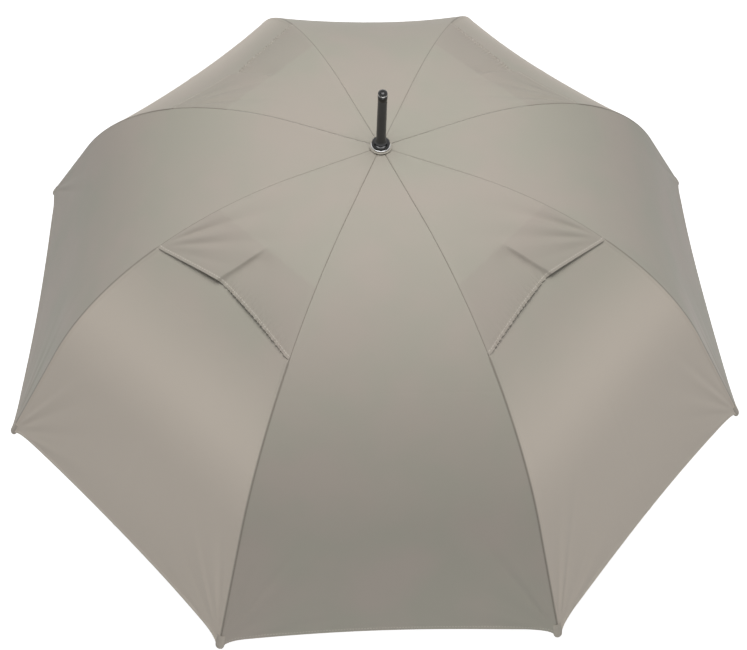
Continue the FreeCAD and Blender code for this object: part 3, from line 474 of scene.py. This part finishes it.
def panel(name, gore, begin, end, rise, sag, relief, grid, hemmed=False, double_layer_shade=0.0, across_grain_sheen=0.0):
    """Cloth between the two ribs of a gore, from path begin(t) to path end(t) with t from -1 to 1."""
    columns, rows = grid
    piece, column, row = cloth_grid(name, columns, rows)
    steps, hem_steps = np.array(SEAM_STEPS), np.array(HEM_STEPS)
    from_side = np.minimum(column, columns - column)
    sign = np.where(column * 2 < columns, -1.0, 1.0)
    inner = len(steps) - 1
    even = (column - inner) / (columns - 2 * inner) * 2 - 1
    nominal = np.where(from_side < inner, sign, even)
    from_hem = rows - row
    outer = len(hem_steps) - 1
    finish = end(nominal)
    share = row / (rows - outer)
    path = begin(nominal) + (finish - hem_steps[-1] - begin(nominal)) * share
    path = np.where(from_hem < outer, finish - hem_steps[np.minimum(from_hem, outer)], path)
    out, up, slope = rib_point(path, rise)
    half = out * math.sin(HALF_GORE)
    crowd = np.minimum(1, half / 0.03)
    edge = np.where(from_side < inner, steps[np.minimum(from_side, inner)] * crowd, 0)
    across = np.where(from_side < inner, sign * (half - edge), even * (half - steps[-1] * crowd))
    edge = half - np.abs(across)
    t = across / half
    hem = finish - path
    # outward directions of the flat gore and, close to the seam, of the rib itself
    flat_out, flat_up = np.sin(slope), math.cos(HALF_GORE) * np.cos(slope)
    length = np.hypot(flat_out, flat_up)
    lean = np.stack([flat_out / length, 0 * t, flat_up / length], 1)
    over_rib = np.stack([np.sin(slope) * math.cos(HALF_GORE), sign * np.sin(slope) * math.sin(HALF_GORE),
                         np.cos(slope)], 1)
    near = (1 - smooth(edge, 0.0, 0.008))[:, None]
    lean = lean * (1 - near) + over_rib * near
    lift = (relief(t, edge, path, hem, half) - sagged(path, t, half, sag))[:, None]
    points = stand(np.stack([out * math.cos(HALF_GORE), across, up], 1) + lean * lift, gore)
    felled = smooth(path, VENT_END - 0.002, VENT_END + 0.004)
    # the painted seam shade is a thin pale line near the crown, and a wide dark one past the vents
    record_cloth(piece, points, across, path, {
        "seam": np.minimum(edge * (1.45 - 0.95 * felled), FAR),
        "hem": np.minimum(hem, FAR) if hemmed else np.full(len(t), FAR),
        # painted shade where a second layer of cloth lies under this one
        "double_layer_shade": double_layer_shade * smooth(path, UNDERLAP_EDGE, UNDERLAP_EDGE + 0.003),
        # painted sheen, rising down the steep part of the panel
        "grain": across_grain_sheen * (0.05 + 0.95 * smooth(path, VENT_END - 0.01, CLIP + 0.11))})
    area = sum(face.area for face in piece.data.polygons)
    finish_cloth(piece, CLOTH_THICK, HEM_THICK)
    return piece, area, (2 * half.max(), path.max() - path.min())


def hang(piece, body, nodes):
    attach(piece, body)
    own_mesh(piece)
    if nodes:
        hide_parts(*nodes)


# %% [markdown]
# ## Seams, hems and the folds at the corners
# Neighbouring gores meet in a narrow groove over the rib, and outside the vents the seam is felled
# flat and stitched down on one side. The hem is rolled, so it stands half a millimetre proud. At each
# rib tip the pull of the corner gathers the cloth into folds that fan out and die away within a hand's
# width. All these are small heights added along the outward direction of the cloth.

# %% Heights of the sewn details
def sewn(edge, path, hem, felled):
    """Seam groove, felled band and rolled hem."""
    groove = -0.0006 * np.exp(-((edge / 0.0008) ** 2))
    past_vent = smooth(path, VENT_END - 0.004, VENT_END + 0.004)
    band = 0.0004 * felled * (1 - smooth(edge, 0.0046, 0.0052)) * past_vent
    rolled = 0.0004 * (1 - smooth(hem, 0.0046, 0.0052))
    return groove + band + rolled


# angle from the hem in degrees, width in degrees, height in metres
TIP_FOLDS = ((83, 3.0, 0.0007), (77, 2.4, -0.0013), (71, 4.0, 0.0016), (63, 2.6, -0.0011), (55, 5.0, 0.0009),
             (41, 4.0, -0.0005), (21, 4.5, 0.0006), (12, 3.0, -0.0006))


def tip_folds(t, path, half, gore):
    """Folds that fan out from the two corners of a gore."""
    height = np.zeros(len(t))
    for side in (-1, 1):
        aside = half * (1 - side * t)
        inward = ROD_END + 0.004 - path
        reach = np.hypot(aside, inward)
        angle = np.degrees(np.arctan2(inward, aside))
        fade = smooth(reach, 0.006, 0.05) * np.exp(-((reach / 0.15) ** 2))
        for number, (centre, width, tall) in enumerate(TIP_FOLDS):
            vary = 1 + 0.5 * math.sin(2.3 * gore + 1.7 * number + 0.9 * side)
            shift = 2.0 * math.sin(1.3 * gore + 2.1 * number + side)
            height += tall * vary * fade * np.exp(-(((angle - centre - shift) / width) ** 2))
    return height


def drift_height(t, path, gore):
    """Slack too gentle to be a fold, a few tenths of a millimetre."""
    waves = np.sin(31 * path + 2.1 * gore + 1.6 * t) + np.sin(17 * path - 1.3 * gore + 3.4 * t)
    return 0.0004 * (1 - t ** 4) * waves


print(len(TIP_FOLDS), "folds fan out from each corner")


# %% [markdown]
# ## Upper cloth of the plain gores
# The front, rear, left and right gores are cut in one piece. The umbrella folds at the stretcher
# clips, so each is modelled as an upper and a lower piece that meet on the line between two clips.
# The lower piece runs a little way under the upper one, which hides the gap when the cloth bends.

# %% Plain gores, upper
OVERLAP = 0.009  # how far the lower cloth runs under the upper
plain_gores, vented_gores = (1, 3, 5, 7), (2, 4, 6, 8)


def straight(path):
    """A cut edge at one path all the way across the gore."""
    return lambda t: path + 0 * t


def upper_relief(gore, felled):
    """Heights on the cloth between the crown and the clips."""
    def relief(t, edge, path, hem, half):
        return sewn(edge, path, np.full(len(t), 1.0), felled) + drift_height(t, path, gore)
    return relief


for gore in plain_gores:
    piece, area, flat = panel(f"gore_cloth_upper_{gore}", gore, straight(CLOTH_START), straight(CLIP),
                              CLOTH_RISE, CLOTH_SAG, upper_relief(gore, 0.0), (96, 78))
    hang(piece, f"gore_upper_{gore}", [f"canopy_upper_{gore}"])
print("plain upper gore is cut", [round(x, 3) for x in flat], "m, area", round(area, 4))

# %% [markdown]
# ## Lower cloth of all gores
# The lower piece of each gore ends in the hem. The hem is cut slightly hollow, so it stays tight, and
# at each end it runs out into the pocket that holds the rib's tip.

# %% Lower cloth
def lower_relief(gore, felled):
    """Heights on the cloth between the clips and the hem."""
    def relief(t, edge, path, hem, half):
        under = -0.0006 * (1 - smooth(path, CLIP - 0.003, CLIP - 0.0002))
        crease = 0.0
        if not gore % 2:
            crease = 0.0004 * np.exp(-((t * half / 0.0012) ** 2)) * smooth(path, CLIP + 0.05, CLIP + 0.12)
        return (sewn(edge, path, hem, felled) + drift_height(t, path, gore) + tip_folds(t, path, half, gore)
                + under + crease)
    return relief


def hem_line(t):
    """The hem is hollow in the middle and runs out into the tip pockets."""
    from_corner = (1 - np.abs(t)) * 0.232
    return ROD_END - 0.006 * (1 - t * t) ** 0.8 + 0.007 * np.exp(-from_corner / 0.008) - 0.001


# the vented gores' lower panels are painted lighter on their steep part, a painted sheen
for gore in plain_gores + vented_gores:
    vented = float(gore in vented_gores)
    piece, area, flat = panel(f"gore_cloth_lower_{gore}", gore, straight(CLIP - OVERLAP), hem_line, CLOTH_RISE,
                              CLOTH_SAG, lower_relief(gore, vented), (134, 96), hemmed=True,
                              across_grain_sheen=vented)
    hang(piece, f"gore_lower_{gore}", [f"canopy_lower_{gore}"])
print("lower gore is cut", [round(x, 3) for x in flat], "m, area", round(area, 4))

# %% [markdown]
# ## Vented gores
# Every second gore is a wind vent: a loose flap from the crown lies over the top of the panel below,
# which starts under it with a straight edge. The flap's hem is cut hollow. Half of it is pulled in by
# an elastic thread, which puckers it and presses a pleat down the flap's middle, and the other end is
# pulled into long soft folds that fan out from its corner.

# %% Vent flaps
GATHERED = {2: -1, 4: 1, 6: -1, 8: 1}  # which way across the gore the puckered half lies
FLAP_HOLLOW = 0.019  # how far the hem's middle is cut back
PLEAT_FOOT = -0.2  # where the pleat meets the hem, as a share of half the gore's width


def flap_hem(gore):
    """The flap's hollow hem: nearly straight outside the pleat, a soft curve on the gathered side."""
    def line(t):
        u = t * GATHERED[gore]
        from_pleat = u - PLEAT_FOOT
        outer = 1 - (-np.minimum(from_pleat, 0) / (1 + PLEAT_FOOT)) ** 1.1
        gathered = 1 - (np.maximum(from_pleat, 0) / (1 - PLEAT_FOOT)) ** 1.6
        return VENT_END - FLAP_HOLLOW * np.where(from_pleat < 0, outer, gathered)
    return line


# angle from the hem in degrees, width in degrees, height in metres
CORNER_FOLDS = ((84, 4, 0.0008), (75, 4, -0.0026), (64, 6, 0.0020), (53, 4, -0.0013), (42, 5, 0.0009),
                (29, 4, -0.0007), (16, 4, 0.0004))


def flap_relief(gore):
    """Heights on a flap: the pleat, the puckers along the elastic and the folds from its corner."""
    def relief(t, edge, path, hem, half):
        u = t * GATHERED[gore]
        pressed = smooth(path, UNDERLAP_EDGE - 0.006, UNDERLAP_EDGE + 0.022)
        pleat_line = PLEAT_FOOT * (path - UNDERLAP_EDGE) / (VENT_END - FLAP_HOLLOW - UNDERLAP_EDGE)
        beside = u - pleat_line
        gathered = np.maximum(beside, 0)
        ridge = 0.0022 * np.exp(-((beside / 0.3) ** 2))
        valley = 0.0065 * (1 - np.exp(-gathered / 0.035)) * np.exp(-((gathered / 0.26) ** 2))
        pleat = pressed * (ridge - valley)
        wave = np.sin(2 * math.pi * u * half / 0.0062 + 1.2 * np.sin(38 * u))
        near_hem = np.exp(-hem / 0.008) * smooth(beside, 0.02, 0.1) * (1 - smooth(u, 0.85, 0.97))
        pucker = 0.0014 * wave * near_hem
        aside, inward = half * (1 + u), np.maximum(VENT_END - path, 0)
        reach = np.hypot(aside, inward)
        angle = np.degrees(np.arctan2(inward, aside))
        fade = smooth(reach, 0.01, 0.06) * np.exp(-((reach / 0.12) ** 2))
        fan = np.zeros(len(t))
        for centre, width, tall in CORNER_FOLDS:
            fan += tall * fade * np.exp(-(((angle - centre) / width) ** 2))
        tucked = -0.0012 * np.exp(-((edge / 0.005) ** 2))
        return sewn(edge, path, hem, 0.0) + drift_height(t, path, gore) + pleat + pucker + fan + tucked
    return relief


for gore in vented_gores:
    # the flap gets a share of the painted layer shade where it lies over the underlap
    piece, area, flat = panel(f"vent_flap_cloth_{gore}", gore, straight(CLOTH_START), flap_hem(gore),
                              FLAP_RISE, FLAP_SAG, flap_relief(gore), (200, 90), hemmed=True, double_layer_shade=0.35)
    hang(piece, f"gore_upper_{gore}", [f"canopy_upper_{gore}"])
    print("vent flap is cut", [round(x, 3) for x in flat], "m, area", round(area, 4))
    piece, area, flat = panel(f"underlap_cloth_{gore}", gore, straight(UNDERLAP_EDGE), straight(CLIP),
                              CLOTH_RISE, CLOTH_SAG, upper_relief(gore, 1.0), (72, 34), across_grain_sheen=1.0)
    hang(piece, f"gore_upper_{gore}", [])

# %% [markdown]
# ## Tip pockets
# Each rib ends in a small cloth pocket, sewn from the same cloth, that pulls over the moulded tip. It
# is a blunt bag, flatter than it is wide: a UV sphere squared off along its length, cut open at its
# mouth by a bisect. One is shaped at the rod's end and copied to the eight ribs.

# %% Tip pockets
POCKET_LOW, POCKET_HIGH, POCKET_MOUTH = -0.016, 0.0130, -0.012  # along the rod, from its end
POCKET_HALF_WIDTH, POCKET_HALF_HEIGHT = 0.0066, 0.0047


def shape_pocket():
    """One pocket, with the rod's end at the origin and the rod along X."""
    deselect()
    bpy.ops.mesh.primitive_uv_sphere_add(segments=32, ring_count=24, radius=1, calc_uvs=True)
    piece = bpy.context.object
    middle, reach = (POCKET_LOW + POCKET_HIGH) / 2, (POCKET_HIGH - POCKET_LOW) / 2
    for vertex in piece.data.vertices:
        across, rise, along = vertex.co
        spread = max(math.hypot(across, rise), 1e-9) ** -0.5
        vertex.co = (middle + reach * math.copysign(abs(along) ** 0.5, along),
                     POCKET_HALF_WIDTH * across * spread, POCKET_HALF_HEIGHT * rise * spread + 0.0005)
    bpy.ops.object.mode_set(mode="EDIT")
    bpy.ops.mesh.select_all(action="SELECT")
    bpy.ops.mesh.bisect(plane_co=(POCKET_MOUTH, 0, 0), plane_no=(-1, 0, 0), clear_outer=True)
    bpy.ops.mesh.select_all(action="SELECT")
    bpy.ops.mesh.normals_make_consistent(inside=False)
    bpy.ops.object.mode_set(mode="OBJECT")
    points = np.array([vertex.co for vertex in piece.data.vertices])
    around = np.arctan2(points[:, 1], points[:, 2])
    plain = np.full(len(points), FAR)
    record_cloth(piece, points, around * 0.006, points[:, 0], {
        "seam": plain, "hem": np.minimum(points[:, 0] - POCKET_MOUTH, FAR), "double_layer_shade": 0 * plain,
        # a little of the painted grain sheen
        "grain": 0.3 + 0 * plain})
    return piece


pocket = shape_pocket()
finish_cloth(pocket, 0.0003, 0.0006)
tip_out, tip_up, tip_slope = (float(value) for value in rib_point(ROD_END, 0.0))
for rib in range(1, 9):
    azimuth = math.radians(-112.5 + 45 * (rib - 1))
    outward = Vector((math.cos(azimuth), math.sin(azimuth), 0))
    up = Vector((0, 0, 1))
    along = outward * math.cos(tip_slope) - up * math.sin(tip_slope)
    normal = outward * math.sin(tip_slope) + up * math.cos(tip_slope)
    turn = Matrix((along, normal.cross(along), normal)).transposed().to_4x4()
    copy = bpy.data.objects.new(f"tip_pocket_{rib}", pocket.data.copy())
    bpy.context.scene.collection.objects.link(copy)
    copy.data.transform(Matrix.Translation(outward * tip_out + up * (tip_up + CROWN)) @ turn)
    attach(copy, f"rib_end_{rib}")
bpy.data.objects.remove(pocket)

# %% [markdown]
# ## Round pieces
# The ferrule, its collar, its rings, the press stud and the grip are turned shapes. Spin would do, but
# drawing one ring of vertices from step to step by extrude and resize lets each profile be read as a
# list of radius and height in millimetres. A profile that comes back to its first ring is a sleeve.

# %% Turned shapes
def turned(name, rings, material, segments=64, sleeve=False):
    """A round solid, or a sleeve, from rings of (radius, height) in millimetres."""
    deselect()
    radius, height = rings[0]
    bpy.ops.mesh.primitive_circle_add(vertices=segments, radius=radius / 1000, location=(0, 0, height / 1000))
    piece = bpy.context.object
    piece.name = piece.data.name = name
    bpy.ops.object.transform_apply(location=True, rotation=False, scale=False)
    bpy.ops.object.mode_set(mode="EDIT")
    bpy.ops.mesh.select_all(action="SELECT")
    for next_radius, next_height in rings[1:] + rings[:1] * sleeve:
        lift = (0, 0, (next_height - height) / 1000)
        bpy.ops.mesh.extrude_edges_move(TRANSFORM_OT_translate={"value": lift})
        widen = next_radius / radius
        bpy.ops.transform.resize(value=(widen, widen, 1), center_override=(0, 0, next_height / 1000))
        radius, height = next_radius, next_height
    bpy.ops.mesh.select_all(action="SELECT")
    bpy.ops.mesh.remove_doubles(threshold=0.000002)
    bpy.ops.mesh.fill_holes(sides=segments)
    bpy.ops.mesh.normals_make_consistent(inside=False)
    bpy.ops.object.mode_set(mode="OBJECT")
    bpy.ops.object.shade_smooth_by_angle(angle=math.radians(40))
    piece.data.materials.clear()
    piece.data.materials.append(material)
    return piece


def raised(rings):
    """The same rings, counted from the rib pivots."""
    return [(radius, height + CROWN * 1000) for radius, height in rings]


def fit(piece, body, slot, *nodes):
    """Fix a piece to its body and hide the parts of the frame it stands for."""
    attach(piece, body)
    if nodes:
        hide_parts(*nodes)
    print(piece.name, "has", len(piece.data.polygons), "faces")


# %% [markdown]
# ## The ferrule
# A charcoal stem tapers a little towards a black cap, which a thin bright line parts in two. That line
# is a chromed ring set near the top of the cap, a painted highlight standing in for the softbox's
# highlight on the glossy cap. At its foot the stem flares out, and it stands on a glossy rounded collar
# with a chromed ring under it. Each part is its own turned shape, as on the real one, so each edge
# between two finishes is a real edge.

# %% Ferrule
stem = [(5.9, -20), (5.9, 14.9), (8.3, 15.0), (7.7, 15.7), (7.2, 16.6), (6.85, 17.8), (6.62, 19.4),
        (6.5, 21.5), (6.42, 25)]
stem += [(6.42 - 0.42 * step / 8, 25 + 68 * step / 8) for step in range(1, 9)]
fit(turned("ferrule_stem", raised(stem), charcoal), "frame", "ferrule_plastic", "ferrule")
cap = [(5.6, 92.6), (6.1, 92.8), (6.25, 93.2), (6.3, 96), (6.25, 101.6), (6.0, 102.0), (5.95, 102.4),
       (6.15, 102.8), (6.1, 103.6), (5.8, 104.4), (5.2, 105.3), (4.2, 106.1), (3.0, 106.6), (1.7, 106.9),
       (0.6, 107.0)]
fit(turned("ferrule_dome", raised(cap), polished), "frame", "gloss_black", "ferrule_cap")
# a chromed ring near the cap's top, a painted highlight in place of the softbox's highlight on the cap
highlight_trim = [(5.95 + 0.3 * math.cos(turn), 102.3 + 0.4 * math.sin(turn)) for turn in np.radians(range(0, 360, 45))]
fit(turned("ferrule_highlight_trim", raised(highlight_trim), chrome, sleeve=True), "frame", "bright_ring")
collar = [(6.0, 7.4), (11.6, 7.4), (11.9, 8.6), (12.0, 10.2), (12.3, 10.7), (12.4, 11.6), (12.25, 12.5),
          (11.8, 13.3), (11.0, 13.9), (9.9, 14.3), (8.6, 14.55), (7.4, 14.7), (6.0, 14.7)]
fit(turned("ferrule_base", raised(collar), polished, sleeve=True), "frame", "gloss_black", "ferrule_collar")
ring = [(12.2 + 0.95 * math.cos(turn), 8.5 + 1.15 * math.sin(turn)) for turn in np.radians(range(0, 360, 24))]
fit(turned("ferrule_bright_ring", raised(ring), chrome, sleeve=True), "frame", "bright_ring", "ferrule_ring")

# %% [markdown]
# ## The rosette
# The ferrule clamps a small washer of cloth down on the crown, which keeps rain out. It is cut with
# pinking shears, so its edge is a row of small teeth that don't fray. It is drawn as a turned disc, and
# every second vertex of its rim is then pulled in to make a tooth.

# %% Rosette
TOOTH_ANGLE = 360 / 96
rosette = turned("cloth_rosette", raised([(15.8, 6.95), (14.9, 7.0), (13.5, 7.1), (11.0, 7.2), (8.5, 7.25),
                                          (6.4, 7.3)]), cloth, segments=96)
deselect()
bpy.context.view_layer.objects.active = rosette
bpy.ops.object.mode_set(mode="EDIT")
bpy.ops.mesh.select_mode(type="FACE")
bpy.ops.mesh.select_all(action="DESELECT")
bpy.ops.object.mode_set(mode="OBJECT")
for face in rosette.data.polygons:
    face.select = len(face.vertices) > 4
bpy.ops.object.mode_set(mode="EDIT")
bpy.ops.mesh.delete(type="ONLY_FACE")
bpy.ops.object.mode_set(mode="OBJECT")
points = np.array([vertex.co for vertex in rosette.data.vertices])
turned_to = np.degrees(np.arctan2(points[:, 1], points[:, 0]))
on_rim = np.hypot(points[:, 0], points[:, 1]) > 0.0155
notch = on_rim & (np.rint(turned_to / TOOTH_ANGLE).astype(int) % 2 == 0)
points[notch, :2] *= 0.945
plain = np.full(len(points), FAR)
rosette.data.uv_layers.new(name="cloth_uv")
record_cloth(rosette, points, points[:, 0], points[:, 1],
             {"seam": plain, "hem": plain, "double_layer_shade": 0 * plain, "grain": 0 * plain})
finish_cloth(rosette, 0.0005, 0.0005)
fit(rosette, "frame", "canopy_cloth", "rosette")

# %% [markdown]
# ## Closure strap
# A strap of the same cloth is sewn to the middle of the rear panel and wraps the closed umbrella. On
# the open one it lies down the panel, and its rounded free end hangs past the hem with a press stud. It
# is a narrow grid laid out like a panel, so it follows the sagged cloth a millimetre above it.

# %% Closure strap and stud
STRAP_FLAT = (0.022, 0.180)
STRAP_END = ROD_END + 0.018
STRAP_START = STRAP_END - STRAP_FLAT[1]
STRAP_COLUMNS, STRAP_ROWS = 16, 72
strap, column, row = cloth_grid("strap_cloth", STRAP_COLUMNS, STRAP_ROWS)
share = row / STRAP_ROWS
path = STRAP_START + (STRAP_END - STRAP_START) * share
narrow = np.sqrt(np.clip(1 - np.clip((path - STRAP_END + 0.011) / 0.0112, 0, 1) ** 2, 0, 1))
half_width = STRAP_FLAT[0] / 2 * np.maximum(narrow, 0.12)
across = (column / (STRAP_COLUMNS / 2) - 1) * half_width
out, up, slope = rib_point(path, CLOTH_RISE)
half = out * math.sin(HALF_GORE)
flat_out, flat_up = np.sin(slope), math.cos(HALF_GORE) * np.cos(slope)
lean = np.stack([flat_out, 0 * share, flat_up], 1) / np.hypot(flat_out, flat_up)[:, None]
rise = 0.0019 - sagged(path, across / half, half, CLOTH_SAG)
local = np.stack([out * math.cos(HALF_GORE), across, up], 1) + lean * rise[:, None]
from_edge = np.minimum(half_width - np.abs(across), path - STRAP_START)
plain = np.full(len(share), FAR)
record_cloth(strap, stand(local, 5), across, path, {
    # the strap lies over the panel, so it gets a share of the painted layer shade
    "seam": plain, "hem": from_edge + 0.0022, "double_layer_shade": 0.3 + 0 * plain, "grain": 0 * plain})
finish_cloth(strap, 0.0007, 0.0009)
fit(strap, "gore_lower_5", "canopy_cloth", "closure_strap")

stud_profile = [(5.3, 0.0), (6.0, 0.15), (6.0, 0.7), (5.6, 1.2), (4.9, 1.35), (4.5, 1.1), (3.6, 0.95),
                (2.8, 1.15), (1.6, 1.4), (0.4, 1.5)]
stud = turned("press_stud", stud_profile, chrome, segments=40)
STUD_PATH = STRAP_END - 0.012
stud_out, stud_up, stud_slope = (float(value) for value in rib_point(STUD_PATH, CLOTH_RISE))
lean = Vector((0, math.sin(stud_slope), math.cos(HALF_GORE) * math.cos(stud_slope))).normalized()
down = Vector((0, lean.z, -lean.y))
stud_half = stud_out * math.sin(HALF_GORE)
seat = Vector((0, stud_out * math.cos(HALF_GORE), stud_up + CROWN))
seat += lean * (0.00185 - float(sagged(STUD_PATH, 0.0, stud_half, CLOTH_SAG)))
stud.data.transform(Matrix.Translation(seat) @ Matrix((down, lean.cross(down), lean)).transposed().to_4x4())
fit(stud, "gore_lower_5", "bright_ring", "strap_snap")

# %% [markdown]
# ## The two springs
# A long spring inside the shaft throws the runner open, and a small one behind the push button sends
# it back. Each is a ring of wire that a Screw modifier winds up along an axis. A spring can't follow
# its joint as a rigid piece.

# %% Springs
def coil(name, wire, radius, length, turns, steps):
    """A helix of round wire that stands on the origin; sizes in metres."""
    deselect()
    bpy.ops.mesh.primitive_circle_add(vertices=8, radius=wire, location=(radius, 0, wire),
                                      rotation=(math.pi / 2, 0, 0))
    piece = bpy.context.object
    piece.name = piece.data.name = name
    bpy.ops.object.transform_apply(location=True, rotation=True, scale=False)
    apply_modifier(piece, "SCREW", axis="Z", angle=2 * math.pi, screw_offset=(length - 2 * wire) / turns,
                   iterations=turns, steps=steps, render_steps=steps)
    bpy.ops.object.mode_set(mode="EDIT")
    bpy.ops.mesh.select_all(action="SELECT")
    bpy.ops.mesh.fill_holes(sides=8)
    bpy.ops.mesh.normals_make_consistent(inside=False)
    bpy.ops.object.mode_set(mode="OBJECT")
    bpy.ops.object.shade_smooth_by_angle(angle=math.radians(50))
    piece.data.materials.clear()
    piece.data.materials.append(spring_steel)
    return piece


low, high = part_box("opening_spring")
opener = coil("opening_coil", 0.0007, 0.0045, high[2] - low[2], 118, 14)
opener.data.transform(Matrix.Translation((0, 0, low[2])))
fit(opener, "frame", "wire", "opening_spring")
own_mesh(opener)

low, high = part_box("button_spring")
returner = coil("button_coil", 0.0003, 0.0017, high[1] - low[1], 3, 20)
returner_end = Matrix.Translation((0, high[1], (low[2] + high[2]) / 2))
returner.data.transform(returner_end @ Matrix.Rotation(math.pi / 2, 4, "X"))
fit(returner, "frame", "wire", "button_spring")
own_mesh(returner)

# %% [markdown]
# ## Grip
# The grip is a moulded rubber sleeve pushed over the handle tube. Fine ribs run round it, so a wet hand
# doesn't slip, and its two ends roll in to the tube. The grooves between the ribs are real steps in the
# profile, because they show in the grip's outline.

# %% Grip
grip_profile = [(12.0, 10.0), (15.6, 10.0), (16.2, 10.5), (16.5, 11.6), (16.5, 22.0)]
for groove in range(26, 131, 4):
    grip_profile += [(16.5, groove - 0.9), (15.9, groove - 0.4), (15.9, groove + 0.4), (16.5, groove + 0.9)]
grip_profile += [(16.5, 138.0), (16.3, 142.0), (15.6, 144.8), (14.4, 145.8), (12.0, 146.0)]
grip = turned("ribbed_grip", grip_profile, rubber, segments=72, sleeve=True)
fit(grip, "frame", "grip_rubber", "handle_grip")

# %% [markdown]
# ## Finishes for the frame's own parts
# The ribs, stretchers, runner, crown, latch and handle already have their real shape, so each only
# gets the finish of what it is made of, through its object's material slots.

# %% Finishes on the frame
FINISHES = {"shaft": enamel, "crown": nylon, "handle_core": nylon, "runner": nylon, "crown_wire": spring_steel,
            "runner_wire": spring_steel, "runner_pin": spring_steel, "handle_cap": polished,
            "push_button": button_black, "latch": nickel}
for number in range(1, 9):
    FINISHES[f"rib_{number}"] = FINISHES[f"rib_end_{number}"] = resin
    FINISHES[f"stretcher_{number}"] = nickel
for name, finish in FINISHES.items():
    for slot in bpy.data.objects[name].material_slots:
        slot.material = finish
print(len(FINISHES), "parts of the frame have their finish")
